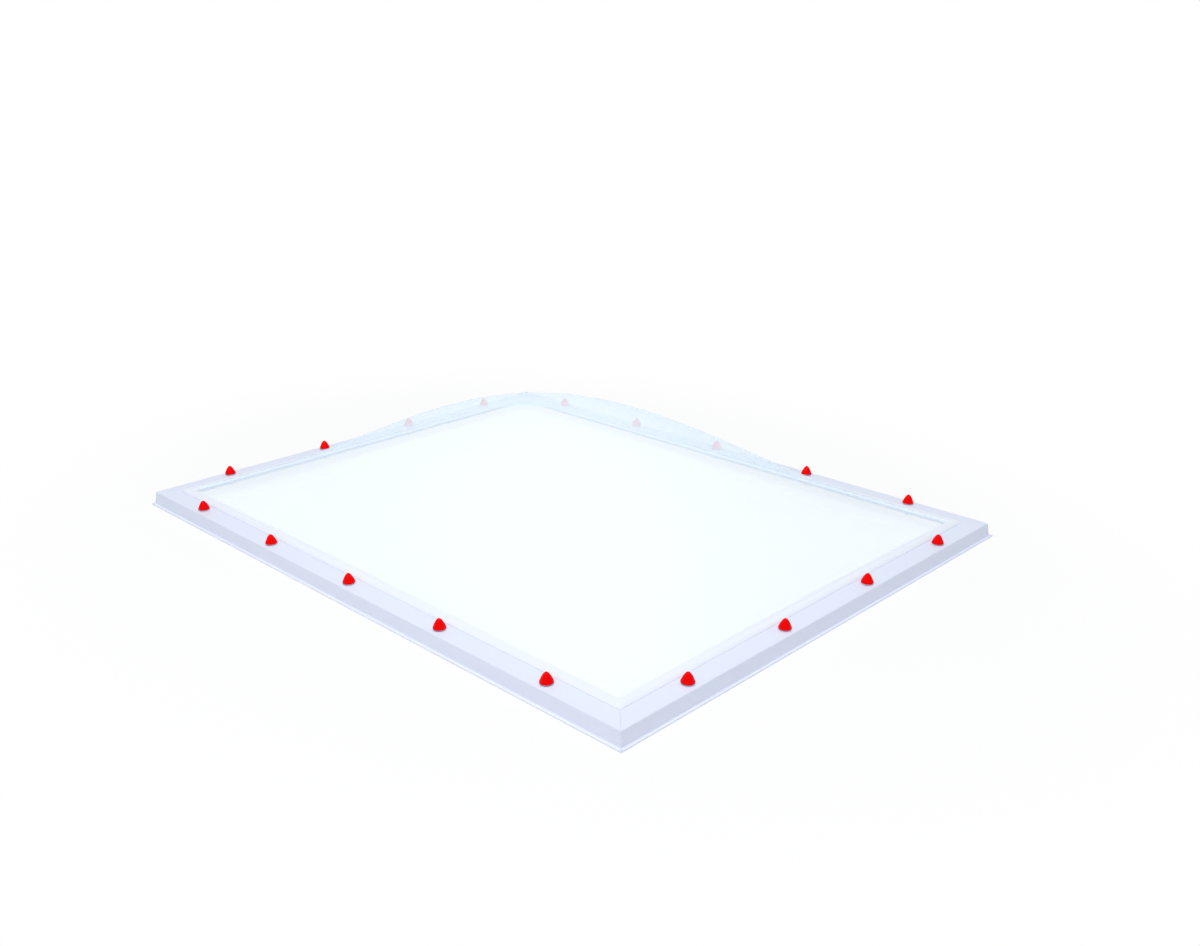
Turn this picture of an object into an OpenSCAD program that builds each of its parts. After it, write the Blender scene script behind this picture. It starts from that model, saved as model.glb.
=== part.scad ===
// Fixed roof skylight: an opal dome bonded to a mitred frame that sits on a roof upstand.
// The origin is the middle of the underside of the drip lip. X runs along the long sides, Z is up.
// Millimetres. Frame sections are drawn as [inset from the skirt's top edge, height].

/* [Frame plan] */
// Length over the top edge of the skirt
frame_l = 1414; // [900:2:2000]
// Width over the top edge of the skirt
frame_w = 1114; // [700:2:1600]
// Width of the hairline joint in each mitre
mitre_gap = 0.2; // [0.1:0.05:0.5]

/* [Frame rails] */
// Wall of the skirt, lip and top of the rails
frame_t = 3; // [2:0.25:4]
// Height of the skirt's top edge above the underside of the lip
skirt_h = 30; // [28:0.5:45]
// How far the skirt leans out at its foot
skirt_flare = 3.5; // [1:0.5:8]
// How far the drip lip stands out from the foot of the skirt
lip_out = 5.5; // [3:0.5:10]
// Width of the top, from the skirt to the clear opening
top_w = 59; // [54:0.5:70]
// Outward fall of the top, in degrees
top_slope = 2; // [1:0.25:4]
// Outer radius of the fold between skirt and top
fold_r = 2; // [1:0.25:4]
// Depth of the hollow section, from the skirt's top edge to its underside
box_depth = 9; // [8:0.25:12]
// Inset of the inner face of the hollow section
box_inset = 46; // [44:0.5:48]
// Inner walls of the hollow section
rail_wall = 2; // [1.5:0.25:2.5]
// Width of the chamber that the screws pass through
port_w = 16; // [14:0.5:17]

/* [Dome] */
// Vertical thickness of the drawn sheet
dome_t = 3; // [2:0.25:5]
// Rise of the crown above the springing line
dome_rise = 221; // [120:1:320]
// Fullness of the sections: 2 is a parabola
dome_power = 1.93; // [1.6:0.01:3]
// Softness of the springing: 1 leaves the rim at full slope
dome_soften = 1.06; // [1:0.01:1.4]
// Width of the flat rim, up to the springing line
rim_w = 14; // [12:0.5:16]
// Distance of the springing line from the clear opening
rim_margin = 6; // [4:0.5:8]
// Grid cells from the middle to each end
cells_x = 16; // [8:1:24]
// Grid cells from the middle to each side
cells_y = 13; // [8:1:20]

/* [Seals and corner keys] */
// Thickness of the glazing tape under the rim
tape_t = 1; // [0.5:0.25:2]
// Distance of the tape from both edges of the rim
tape_margin = 1; // [0.5:0.25:2]
// Thickness of the base seal
base_seal_t = 4; // [3:0.5:5]
// Inset of the outer edge of the base seal
base_seal_in = 8; // [6:0.5:10]
// Distance of the base seal from the inner face of the hollow section
base_seal_margin = 4; // [2:0.5:8]
// Length of each leg of a corner key
key_leg = 90; // [60:5:120]
// Play of a corner key in its chamber
key_play = 0.2; // [0.1:0.05:0.4]

/* [Fixings] */
// Fixings on each long side
fix_long = 5; // [3:1:8]
// Fixings on each short side
fix_short = 4; // [2:1:7]
// Inset of the fixings
fix_inset = 19.3; // [18.5:0.1:20]
// From the frame's end to the first fixing of a long side
fix_end_long = 177.5; // [120:0.5:220]
// From the frame's end to the first fixing of a short side
fix_end_short = 173; // [120:0.5:220]

/* [Screws] */
// Shank diameter of the screws
screw_d = 4.8; // [4:0.1:5]
// Length of the screws under the head
screw_l = 32; // [28:1:33]
// Length of the screws' point
point_l = 5; // [3:0.5:8]
// Diameter of the blunt end of the point
point_d = 0.4; // [0.2:0.1:1]
// Across flats of the hexagon head
head_af = 8; // [7:0.5:8]
// Height of the hexagon head
head_h = 4; // [3:0.25:5]
// Diameter of the collar under the head
collar_d = 10.8; // [10:0.2:11]
// Thickness of the collar
collar_t = 1; // [0.6:0.1:1.4]
// Play of the screw in the top of the rails
screw_play = 0.35; // [0.2:0.05:0.5]
// Play of the screw in washers, cap bases, inner walls and seals
pilot_play = 0.1; // [0.05:0.05:0.2]

/* [Cover caps] */
// Thickness of the sealing washers
washer_t = 2; // [1.5:0.25:2.5]
// Thickness of the flange of the cap bases
base_t = 2; // [1.5:0.25:2.5]
// Height of the hub of the cap bases
hub_h = 2; // [1.6:0.1:2.4]
// Depth of the snap groove in the hub
snap_depth = 0.4; // [0.2:0.05:0.5]
// Play between a cap and the hub of its base
snap_play = 0.25; // [0.15:0.05:0.35]
// Diameter of the cover caps
cap_d = 23.6; // [22.4:0.2:26]
// Height of the cover caps
cap_h = 16.8; // [16:0.2:20]
// Wall of the cover caps at the tip
cap_t = 1.4; // [1:0.1:1.6]
// Wall of the cover caps at the foot
foot_t = 2.35; // [2:0.05:2.6]
// Thickness of the caps' thin edge, which hangs over the flange of the bases
edge_t = 0.7; // [0.6:0.05:1]
// How far that edge hangs down
edge_drop = 1.5; // [0.5:0.1:1.8]
// Power by which the caps narrow towards the tip: 0.5 is a paraboloid, 1 a cone
cap_power = 0.55; // [0.5:0.01:0.6]

/* [Hidden] */
$fn = 64;

// Colours of the materials
frame_colour = [0.90, 0.91, 0.96];
dome_colour = [0.93, 0.98, 0.99, 0.62];
tape_colour = [0.80, 0.81, 0.84];
foam_colour = [0.80, 0.82, 0.87];
rubber_colour = [0.83, 0.85, 0.89];
steel_colour = [0.70, 0.71, 0.72];
cap_colour = [0.90, 0.02, 0.02];

// Plan: sides 0 front, 1 right, 2 back, 3 left
function side_length(side) = side % 2 == 0 ? frame_l : frame_w;
function side_offset(side) = side % 2 == 0 ? frame_w / 2 : frame_l / 2;
cut_margin = 5;
mitre_out = skirt_flare + lip_out + cut_margin;
mitre_in = top_w + cut_margin;
mitre_h = 2 * skirt_h;

// Heights on and under the sloped top, at a given inset
function top_height(inset) = skirt_h + inset * tan(top_slope);
function under_height(inset) = top_height(inset) - frame_t / cos(top_slope);

// Path of the rail's outer skin, from the tip of the lip to the edge of the clear opening
lip_tip = [-skirt_flare - lip_out, frame_t];
skirt_foot = [-skirt_flare, frame_t];
skirt_top = [0, skirt_h];
top_edge = [top_w, top_height(top_w)];
skin_path = [lip_tip, skirt_foot, skirt_top, top_edge];

// Hollow section under the top: a screw port between an outer and an inner chamber
box_bottom = skirt_h - box_depth;
web_top = box_bottom + rail_wall;
port = [fix_inset - port_w / 2, fix_inset + port_w / 2];
key_chamber = [port[1] + rail_wall, box_inset - rail_wall];
key_t = under_height(key_chamber[0]) - web_top - 2 * key_play;

// The rim of the dome lies on the top with the glazing tape between
spring_inset = top_w - rim_margin;
rim_inset = spring_inset - rim_w;
spring_x = frame_l / 2 - spring_inset;
spring_y = frame_w / 2 - spring_inset;
function rim_height(inset) = top_height(inset) + tape_t + dome_t;
spring_h = rim_height(spring_inset);

// Fixings stand square to the sloped top; heights are above it
cap_seat = washer_t + base_t;
snap_h = hub_h / 2;
cap_r = cap_d / 2;
hub_r = cap_r - foot_t - snap_play;
flange_r = cap_r - edge_t - snap_play;
collar_r = collar_d / 2;
cap_bands = 14;

// Geometry helpers
function unit(v) = v / norm(v);
function right_of(v) = [v[1], -v[0]];
function reversed(list) = [for (i = [len(list) - 1 : -1 : 0]) list[i]];

// Path moved to its right by a distance, with square ends and sharp corners
function offset_path(path, distance) =
    let (ends = len(path) - 1)
    [for (i = [0 : ends])
        let (before = right_of(unit(path[max(i, 1)] - path[max(i, 1) - 1])))
        let (after = right_of(unit(path[min(i, ends - 1) + 1] - path[min(i, ends - 1)])))
        path[i] + distance * (before + after) / (1 + before * after)];

// Arc of a given radius that takes the place of corner b between points a and c
function corner_arc(a, b, c, radius, steps = 6) =
    let (to_a = unit(a - b))
    let (to_c = unit(c - b))
    let (half = acos(to_a * to_c) / 2)
    let (centre = b + unit(to_a + to_c) * radius / sin(half))
    let (start = b + to_a * radius / tan(half) - centre)
    let (turn = sign(cross(to_a, to_c)) * (2 * half - 180))
    [for (i = [0 : steps])
        let (angle = turn * i / steps)
        centre + [start[0] * cos(angle) - start[1] * sin(angle),
                  start[0] * sin(angle) + start[1] * cos(angle)]];

// Point on a line through two points at a given height
function at_height(a, b, height) = [a[0] + (b[0] - a[0]) * (height - a[1]) / (b[1] - a[1]), height];

// Puts its children on one side, with Y running inward from the skirt's top edge
module at_side(side) {
    rotate([0, 0, 90 * side])
        translate([0, -side_offset(side), 0])
            children();
}

// Puts its children at each fixing of one side, with Z square to the sloped top
module at_fixings(side) {
    count = side % 2 == 0 ? fix_long : fix_short;
    end = side % 2 == 0 ? fix_end_long : fix_end_short;
    pitch = (side_length(side) - 2 * end) / (count - 1);
    at_side(side)
        for (i = [0 : count - 1])
            translate([end - side_length(side) / 2 + i * pitch, fix_inset, top_height(fix_inset)])
                rotate([top_slope, 0, 0])
                    children();
}

module at_all_fixings() {
    for (side = [0 : 3])
        at_fixings(side)
            children();
}

// Sweeps the section in its children along one side and cuts the ends to the mitre
module mitred(side) {
    half = side_length(side) / 2 - mitre_gap / sqrt(2);
    at_side(side)
        intersection() {
            rotate([90, 0, 90])
                linear_extrude(height = side_length(side) + 2 * mitre_out, center = true)
                    children();
            linear_extrude(height = mitre_h)
                polygon([[-half - mitre_out, -mitre_out], [half + mitre_out, -mitre_out],
                         [half - mitre_in, mitre_in], [mitre_in - half, mitre_in]]);
        }
}

// Sections
function chamber(from, to) =
    [[from, web_top], [to, web_top], [to, under_height(to)], [from, under_height(from)]];

module rail_section() {
    inner = offset_path(skin_path, frame_t);
    fold = corner_arc(skirt_foot, skirt_top, top_edge, fold_r);
    difference() {
        polygon(concat([lip_tip, skirt_foot], fold,
            [top_edge, inner[3], [box_inset, under_height(box_inset)], [box_inset, box_bottom],
             at_height(inner[1], inner[2], box_bottom), inner[1], inner[0]]));
        polygon([at_height(inner[1], inner[2], web_top), [port[0] - rail_wall, web_top],
                 [port[0] - rail_wall, under_height(port[0] - rail_wall)], inner[2]]);
        polygon(chamber(port[0], port[1]));
        polygon(chamber(key_chamber[0], key_chamber[1]));
    }
}

module tape_section() {
    outer = rim_inset + tape_margin;
    inner = spring_inset - tape_margin;
    polygon([[outer, top_height(outer)], [inner, top_height(inner)],
             [inner, top_height(inner) + tape_t], [outer, top_height(outer) + tape_t]]);
}

module base_seal_section() {
    translate([base_seal_in, box_bottom - base_seal_t])
        square([box_inset - base_seal_margin - base_seal_in, base_seal_t]);
}

// Parts, each for one side or corner
module frame_rail(side) {
    color(frame_colour)
        difference() {
            mitred(side) rail_section();
            at_fixings(side) {
                cylinder(h = 3 * frame_t, d = screw_d + 2 * screw_play, center = true);
                cylinder(h = 2 * skirt_h, d = screw_d + 2 * pilot_play, center = true);
            }
        }
}

module glazing_tape(side) {
    color(tape_colour)
        mitred(side) tape_section();
}

module base_seal(side) {
    color(foam_colour)
        difference() {
            mitred(side) base_seal_section();
            at_fixings(side)
                cylinder(h = 2 * skirt_h, d = screw_d + 2 * pilot_play, center = true);
        }
}

// Flat L in the inner chambers of two rails, at the corner that ends the given side
module corner_key(side) {
    outer = key_chamber[0] + key_play;
    key_w = key_chamber[1] - key_chamber[0] - 2 * key_play;
    color(steel_colour)
        at_side(side)
            translate([side_length(side) / 2 - outer, outer, web_top])
                linear_extrude(height = key_t)
                    polygon([[0, 0], [0, key_leg], [-key_w, key_leg], [-key_w, key_w],
                             [-key_leg, key_w], [-key_leg, 0]]);
}

// Grid of the dome: the rim's edge, the springing line, then cells that get closer near the sides
function half_grid(spring, cells) =
    concat([for (i = [1 : cells]) spring * sin(90 * i / cells)], [spring + rim_w]);
function full_grid(half) = concat(-reversed(half), [0], half);
grid_x = full_grid(half_grid(spring_x, cells_x));
grid_y = full_grid(half_grid(spring_y, cells_y));
function swell(at, spring) = max(0, 1 - pow(min(1, abs(at) / spring), dome_power));
function dome_height(x, y) =
    let (inset = min(frame_l / 2 - abs(x), frame_w / 2 - abs(y)))
    inset < spring_inset
        ? rim_height(inset)
        : spring_h + dome_rise * pow(swell(x, spring_x) * swell(y, spring_y), dome_soften);

// Drawn sheet: the upper surface over the grid, and the lower one a sheet's thickness below
module dome() {
    columns = len(grid_x);
    rows = len(grid_y);
    layer = columns * rows;
    points = [for (drop = [0, dome_t]) for (y = grid_y) for (x = grid_x) [x, y, dome_height(x, y) - drop]];
    function split(a, b, c, d, along) = along ? [[a, c, b], [a, d, c]] : [[a, d, b], [b, d, c]];
    skin = [for (j = [0 : rows - 2]) for (i = [0 : columns - 2])
        let (a = j * columns + i)
        let (along = (grid_x[i] + grid_x[i + 1]) * (grid_y[j] + grid_y[j + 1]) > 0)
        each split(a, a + 1, a + columns + 1, a + columns, along)];
    rim = concat([for (i = [0 : columns - 2]) i],
                 [for (j = [0 : rows - 2]) (j + 1) * columns - 1],
                 [for (i = [columns - 1 : -1 : 1]) (rows - 1) * columns + i],
                 [for (j = [rows - 1 : -1 : 1]) j * columns]);
    edge = [for (i = [0 : len(rim) - 1])
        let (a = rim[i])
        let (b = rim[(i + 1) % len(rim)])
        each [[a, b, b + layer], [a, b + layer, a + layer]]];
    color(dome_colour)
        polyhedron(points, concat(skin, [for (f = skin) [f[0] + layer, f[2] + layer, f[1] + layer]], edge));
}

// Fixings, drawn upright with the sloped top at height 0
module screw() {
    translate([0, 0, cap_seat - screw_l])
        cylinder(h = point_l, d1 = point_d, d2 = screw_d);
    translate([0, 0, cap_seat - screw_l + point_l])
        cylinder(h = screw_l - point_l, d = screw_d);
    translate([0, 0, cap_seat])
        cylinder(h = collar_t, r = collar_r);
    translate([0, 0, cap_seat + collar_t])
        cylinder(h = head_h, d = head_af / cos(30), $fn = 6);
}

module washer() {
    difference() {
        cylinder(h = washer_t, r = hub_r);
        cylinder(h = 3 * washer_t, d = screw_d + 2 * pilot_play, center = true);
    }
}

// Flange and hub; the groove round the hub takes the bead of the cap
module cap_base() {
    hole_r = screw_d / 2 + pilot_play;
    recess_r = collar_r + snap_play;
    translate([0, 0, cap_seat])
        rotate_extrude()
            polygon([[hole_r, -base_t], [flange_r, -base_t], [flange_r, 0], [hub_r, 0],
                     [hub_r, snap_h - snap_depth], [hub_r - snap_depth, snap_h],
                     [hub_r, snap_h + snap_depth], [hub_r, hub_h],
                     [recess_r, hub_h], [recess_r, 0], [hole_r, 0]]);
}

// Rounded, tapering outline of a cap, from its foot to its tip
function ogive(radius, height) = [for (i = [0 : cap_bands])
    let (left = 1 - i / cap_bands)
    [radius * pow(left, 2 * cap_power), height * (1 - pow(left, 2))]];

// Hollow over the screw's head; the bead in its foot snaps into the groove of the hub
module cap() {
    bore_r = hub_r + snap_play;
    bead_r = bore_r - snap_depth;
    bore_h = hub_h + snap_play;
    hollow = [for (p = ogive(bore_r, cap_h - cap_t - bore_h)) p + [0, bore_h]];
    translate([0, 0, cap_seat])
        rotate_extrude()
            polygon(concat([[cap_r - edge_t, 0], [cap_r - edge_t, -edge_drop], [cap_r, -edge_drop]],
                ogive(cap_r, cap_h), reversed(hollow),
                [[bore_r, snap_h + snap_depth], [bead_r, snap_h], [bore_r, snap_h - snap_depth], [bore_r, 0]]));
}

module screws() {
    color(steel_colour) at_all_fixings() screw();
}

module washers() {
    color(rubber_colour) at_all_fixings() washer();
}

module cap_bases() {
    color(frame_colour) at_all_fixings() cap_base();
}

module caps() {
    color(cap_colour) at_all_fixings() cap();
}

dome();
frame_rail(0);  // frame_rail_front
frame_rail(1);  // frame_rail_right
frame_rail(2);  // frame_rail_back
frame_rail(3);  // frame_rail_left
corner_key(0);  // corner_key_1
corner_key(1);  // corner_key_2
corner_key(2);  // corner_key_3
corner_key(3);  // corner_key_4
glazing_tape(0);  // glazing_tape_front
glazing_tape(1);  // glazing_tape_right
glazing_tape(2);  // glazing_tape_back
glazing_tape(3);  // glazing_tape_left
base_seal(0);  // base_seal_front
base_seal(1);  // base_seal_right
base_seal(2);  // base_seal_back
base_seal(3);  // base_seal_left
screws();
washers();
cap_bases();
caps();
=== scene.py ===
"""Looks of a fixed roof skylight: an opal dome on a mitred plastic frame with red screw covers."""

import math

import bpy
import numpy as np
from bpy.props import FloatProperty, FloatVectorProperty, IntProperty, PointerProperty
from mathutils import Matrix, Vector
from mathutils.geometry import tessellate_polygon


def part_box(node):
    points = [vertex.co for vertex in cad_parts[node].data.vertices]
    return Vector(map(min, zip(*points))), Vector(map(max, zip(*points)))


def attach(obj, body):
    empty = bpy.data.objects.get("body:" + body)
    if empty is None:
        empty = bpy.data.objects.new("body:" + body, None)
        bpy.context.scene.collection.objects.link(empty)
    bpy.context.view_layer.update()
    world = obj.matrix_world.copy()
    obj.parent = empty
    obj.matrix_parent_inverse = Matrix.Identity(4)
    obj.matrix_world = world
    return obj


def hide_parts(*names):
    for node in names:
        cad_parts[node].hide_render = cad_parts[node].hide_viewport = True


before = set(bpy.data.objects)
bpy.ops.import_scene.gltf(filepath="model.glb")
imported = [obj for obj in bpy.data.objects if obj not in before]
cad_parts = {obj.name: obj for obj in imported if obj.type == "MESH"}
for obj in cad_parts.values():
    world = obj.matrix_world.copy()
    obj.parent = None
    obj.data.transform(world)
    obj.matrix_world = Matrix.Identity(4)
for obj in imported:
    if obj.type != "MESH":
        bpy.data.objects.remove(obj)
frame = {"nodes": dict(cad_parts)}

bl_info = {
    "name": "Roof Skylight",
    "version": (1, 0, 0),
    "blender": (4, 5, 0),
    "location": "3D View > Sidebar > Skylight",
    "description": "Builds the visible pieces of a fixed roof skylight round its solids",
    "category": "Add Mesh",
}

BODY = "root"
SIDES = ("front", "right", "back", "left")
FRONT_LOW, FRONT_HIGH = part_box("frame_rail_front")
RIGHT_LOW, RIGHT_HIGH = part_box("frame_rail_right")
SKIRT_FLARE = 0.0035
LIP_OUT = 0.0055
LONG_SIDE = FRONT_HIGH.x - FRONT_LOW.x - 2 * (SKIRT_FLARE + LIP_OUT)
SHORT_SIDE = RIGHT_HIGH.y - RIGHT_LOW.y - 2 * (SKIRT_FLARE + LIP_OUT)

# Rows at the end of a mitred bar: how far each has turned round its corner, from the mitre on.
MITRE_TURNS = np.radians([45, 45, 36, 27, 18, 9, 0, 0])[:, None]
# Length of the strip between those rows and the rest of the bar.
END_STRIP = 0.02
# Shift between the rails in the texture that runs along them, so that no two are alike.
RAIL_SHIFT = 0.37
# Grid lines on the dome's rim, as shares of its width.
RIM_LINES = np.array([0.1, 0.3, 0.55])
# Bevelled cut edge of the dome: how far out from the last grid line, and how far down the sheet.
BEVEL_OUT = np.array([0.12, 0.3, 0.55, 0.8, 0.95, 1.0, 0.97])[:, None]
BEVEL_DOWN = np.array([0.03, 0.15, 0.42, 0.70, 0.86, 0.94, 1.0])[:, None]
# Two grooves under the base seal: shares of its width, and which of these points are deep.
GROOVE_PLACES = np.array([0.10, 0.14, 0.20, 0.24, 0.58, 0.62, 0.70, 0.74])
GROOVE_DEPTHS = np.array([0, 1, 1, 0, 0, 1, 1, 0])
# Segments round the turned pieces, by node.
SEGMENTS = {"screws": 24, "washers": 48, "cap_bases": 56, "caps": 64}
# Rows of points in one turn of a thread.
THREAD_ROWS = 7
# Bands of points from foot to tip, on a cap's outside and in its hollow.
CAP_BANDS, HOLLOW_BANDS = 22, 14


def length(name, description, default):
    """A size in metres."""
    return FloatProperty(
        name=name, description=description, default=default, min=0.0, unit="LENGTH", precision=5
    )


def number(name, description, default, subtype="NONE"):
    """A plain number or an angle."""
    return FloatProperty(name=name, description=description, default=default, subtype=subtype)


def count(name, description, default):
    """A whole number."""
    return IntProperty(name=name, description=description, default=default)


def colour(name, description, default):
    """A linear colour."""
    return FloatVectorProperty(
        name=name, description=description, default=default, min=0.0, max=1.0, subtype="COLOR"
    )


def triple(name, description, default, subtype):
    """A place or a turn."""
    return FloatVectorProperty(name=name, description=description, default=default, subtype=subtype)


class FrameSizes(bpy.types.PropertyGroup):
    """Sizes of the mitred rails, the seals under them and the tape on them."""

    long_side: length("Long side", "Length over the top edge of the skirt", LONG_SIDE)
    short_side: length("Short side", "Width over the top edge of the skirt", SHORT_SIDE)
    wall: length("Wall", "Wall of the skirt, lip and top", 0.003)
    skirt_height: length("Skirt height", "Height of the skirt's top edge", 0.030)
    skirt_flare: length("Skirt flare", "How far the skirt leans out at its foot", SKIRT_FLARE)
    lip_out: length("Lip", "How far the drip lip stands out", LIP_OUT)
    top_width: length("Top width", "From the skirt to the clear opening", 0.059)
    top_fall: number("Top fall", "Outward fall of the top", math.radians(2), "ANGLE")
    fold_radius: length("Fold radius", "Outer radius between skirt and top", 0.0018)
    corner_radius: length("Corner radius", "Rounding of the skirt's corners in plan", 0.002)
    edge_radius: length("Edge radius", "Rounding of the rails' small edges", 0.0008)
    box_depth: length("Box depth", "Depth of the hollow section", 0.009)
    box_inset: length("Box inset", "Inset of the inner face of the hollow section", 0.046)
    inner_wall: length("Inner wall", "Inner walls of the hollow section", 0.002)
    port_width: length("Port width", "Width of the chamber that the screws pass through", 0.016)
    mitre_gap: length("Mitre gap", "Half of the hairline joint at each mitre", 0.0001)
    weld_groove: length("Weld groove", "Depth of the cleaned weld along each mitre", 0.00018)
    soft_corner: length("Soft corner", "Rounding of tapes and seals at the mitres", 0.0003)
    tape_thickness: length("Tape thickness", "Thickness of the glazing tape", 0.001)
    tape_margin: length("Tape margin", "From the tape to the inner edge of the rim", 0.001)
    tape_edge: length("Tape edge", "Rounding of the glazing tape's edges", 0.0003)
    seal_thickness: length("Seal thickness", "Thickness of the base seal", 0.004)
    seal_inset: length("Seal inset", "Inset of the outer edge of the base seal", 0.008)
    seal_width: length("Seal width", "Width of the base seal", 0.034)
    seal_groove: length("Seal groove", "Depth of the grooves under the base seal", 0.0007)
    seal_foot: length("Seal foot", "Rounding of the base seal's lower edges", 0.0009)
    seal_edge: length("Seal edge", "Rounding of the base seal's upper edges", 0.0006)
    groove_edge: length("Groove edge", "Rounding of the edges of its grooves", 0.0002)


class DomeSizes(bpy.types.PropertyGroup):
    """Sizes of the drawn sheet."""

    rise: length("Rise", "Rise of the crown above the springing line", 0.221)
    fullness: number("Fullness", "Power of the sections: 2 is a parabola", 1.93)
    softness: number("Softness", "Softness of the springing", 1.06)
    sheet: length("Sheet", "Upright thickness of the sheet", 0.003)
    rim_inset: length("Rim inset", "Inset of the cut edge of the rim", 0.039)
    rim_width: length("Rim width", "Width of the flat rim", 0.014)
    springing_radius: length("Springing radius", "Reach of the draw radius", 0.0045)
    bond_fade: length("Bond fade", "Over this the bonded rim turns into clear sheet", 0.0016)
    cells_long: count("Cells along", "Grid cells from the middle to each end", 84)
    cells_short: count("Cells across", "Grid cells from the middle to each side", 70)


class FixingSizes(bpy.types.PropertyGroup):
    """Sizes of the screws and of what covers them."""

    count_long: count("On long sides", "Fixings on each long side", 5)
    count_short: count("On short sides", "Fixings on each short side", 4)
    inset: length("Inset", "Inset of the fixings", 0.0193)
    end_long: length("End of long side", "From its end to its first fixing", 0.1775)
    end_short: length("End of short side", "From its end to its first fixing", 0.173)
    screw_d: length("Screw", "Diameter of the screw's thread", 0.0048)
    screw_length: length("Screw length", "Length of the screw under its head", 0.032)
    plain_shank: length("Plain shank", "Length without thread under the head", 0.0005)
    point_length: length("Point", "Length over which the screw tapers to its tip", 0.005)
    blunt_tip: number("Blunt tip", "Width of the tip over the thread's", 0.05)
    thread_pitch: length("Thread pitch", "Rise of the thread in one turn", 0.0018)
    thread_depth: length("Thread depth", "Depth of the thread", 0.0006)
    thread_step: length("Thread step", "Half of the step where the thread starts", 0.0001)
    thread_flank: number("Thread flank", "Steepness of the thread's flanks", 1.7)
    head_flats: length("Head", "Across flats of the hexagon head", 0.008)
    head_height: length("Head height", "Height of the hexagon", 0.004)
    head_face: number("Head face", "Width of the head's end face over its flats", 0.86)
    head_chamfer: length("Head chamfer", "Depth of the chamfer round that face", 0.0007)
    collar_radius: length("Collar radius", "Radius of the head's collar", 0.0054)
    collar_thickness: length("Collar thickness", "Thickness of the head's collar", 0.001)
    collar_edge: length("Collar edge", "Chamfer of the collar's upper edge", 0.0003)
    small_edge: length("Small edge", "Chamfer of the other edges of the head", 0.0002)
    fine_edge: length("Fine edge", "Unit of the rounding of bases and washers", 0.0001)
    washer_thickness: length("Washer", "Thickness of the sealing washer", 0.002)
    washer_bulge: length("Washer bulge", "Rounding of the washer's outer edges", 0.0008)
    base_thickness: length("Base", "Thickness of the cap base's flange", 0.002)
    hub_height: length("Hub", "Height of the cap base's hub", 0.002)
    cap_d: length("Cap diameter", "Diameter of the cover caps", 0.0236)
    cap_height: length("Cap height", "Height of the cover caps", 0.0168)
    cap_wall: length("Cap wall", "Wall of the cover caps at the tip", 0.0014)
    cap_foot: length("Cap foot", "Wall of the cover caps at the foot", 0.00235)
    cap_power: number("Cap power", "Narrowing to the tip: 0.5 is a paraboloid, 1 a cone", 0.55)
    edge_wall: length("Edge wall", "Thickness of the cap's thin edge", 0.0007)
    edge_drop: length("Edge drop", "How far that edge hangs over the base's flange", 0.0015)
    snap_play: length("Snap play", "Play between a cap and its hub", 0.00025)
    snap_depth: length("Snap depth", "Depth of the snap groove and its bead", 0.0004)
    pilot_play: length("Pilot play", "Play of the screw in washers and cap bases", 0.0001)


class Colours(bpy.types.PropertyGroup):
    """Colours of the finishes, and the cover of the opal sheet."""

    opal: colour("Opal sheet", "White sheet with a slight cyan cast", (0.875, 0.965, 1.0))
    # Painted glow: an emission colour on the opal sheet that stands in for daylight scattered
    # inside it.
    painted_glow: colour("Opal glow", "Daylight that the sheet scatters inside", (0.02, 0.036, 0.08))
    rim: colour("Bonded rim", "Opal sheet over the frame", (0.885, 0.925, 0.995))
    cover: number("Cover", "How much the sheet's outer skin hides", 0.465)
    inner_cover: number("Inner cover", "Cover of its inner skin over the outer's", 0.25)
    bond_cover: number("Bond cover", "What the bond adds to the rim's cover", 0.6)
    frame: colour("Frame", "Pale lavender-white extruded plastic", (0.80, 0.845, 0.985))
    cap: colour("Cap", "Red moulded plastic", (1.0, 0.0004, 0.0004))
    tape: colour("Tape", "Pale grey foam tape", (0.78, 0.82, 0.93))
    foam: colour("Foam", "Closed-cell foam of the base seal", (0.82, 0.86, 0.97))
    rubber: colour("Rubber", "Pale grey rubber of the washers", (0.66, 0.69, 0.76))
    steel: colour("Steel", "Stainless steel of the screws", (0.62, 0.62, 0.61))
    aluminium: colour("Aluminium", "Mill finish of the corner keys", (0.74, 0.75, 0.77))


class StageSettings(bpy.types.PropertyGroup):
    """Camera, floor and light."""

    camera_place: triple(
        "Camera place", "Where the camera stands", (1.7576, -1.6854, 0.9878), "TRANSLATION"
    )
    camera_turn: triple(
        "Camera turn", "Its turn", (math.radians(70.11), 0.0, math.radians(44.092)), "EULER"
    )
    lens: number("Lens", "Focal length in millimetres", 36.54)
    floor: colour("Floor", "Plain pale floor", (0.93, 0.93, 0.93))
    floor_reach: length("Floor reach", "From the middle of the floor to each side", 30.0)
    floor_white: number("Floor white", "Share of plain white in the floor at the object", 0.84)
    white_start: length("White start", "Where the floor starts to turn all white", 0.75)
    white_end: length("White end", "Where the floor is all white", 1.5)
    sky: colour("Sky", "Colour of the soft light from all round", (0.91, 0.95, 1.0))
    sky_level: number("Sky level", "Level of the soft light from all round", 0.455)
    key_level: number("Key level", "Watts of the large soft lamp", 110.0)
    key_place: triple("Key place", "Where that lamp hangs", (0.85, -1.3, 4.0), "TRANSLATION")
    key_size: length("Key size", "Side of the large soft lamp", 2.6)


class Field:
    """A value that varies over a surface: a node's socket with arithmetic."""

    def __init__(self, nodes, socket):
        self.nodes = nodes
        self.socket = socket

    def _math(self, operation, first, second):
        return self.nodes.make("ShaderNodeMath", {"operation": operation}, {0: first, 1: second})

    def __add__(self, other):
        return self._math("ADD", self, other)

    def __sub__(self, other):
        return self._math("SUBTRACT", self, other)

    def __rsub__(self, other):
        return self._math("SUBTRACT", other, self)

    def __mul__(self, other):
        return self._math("MULTIPLY", self, other)

    __radd__ = __add__
    __rmul__ = __mul__


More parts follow.
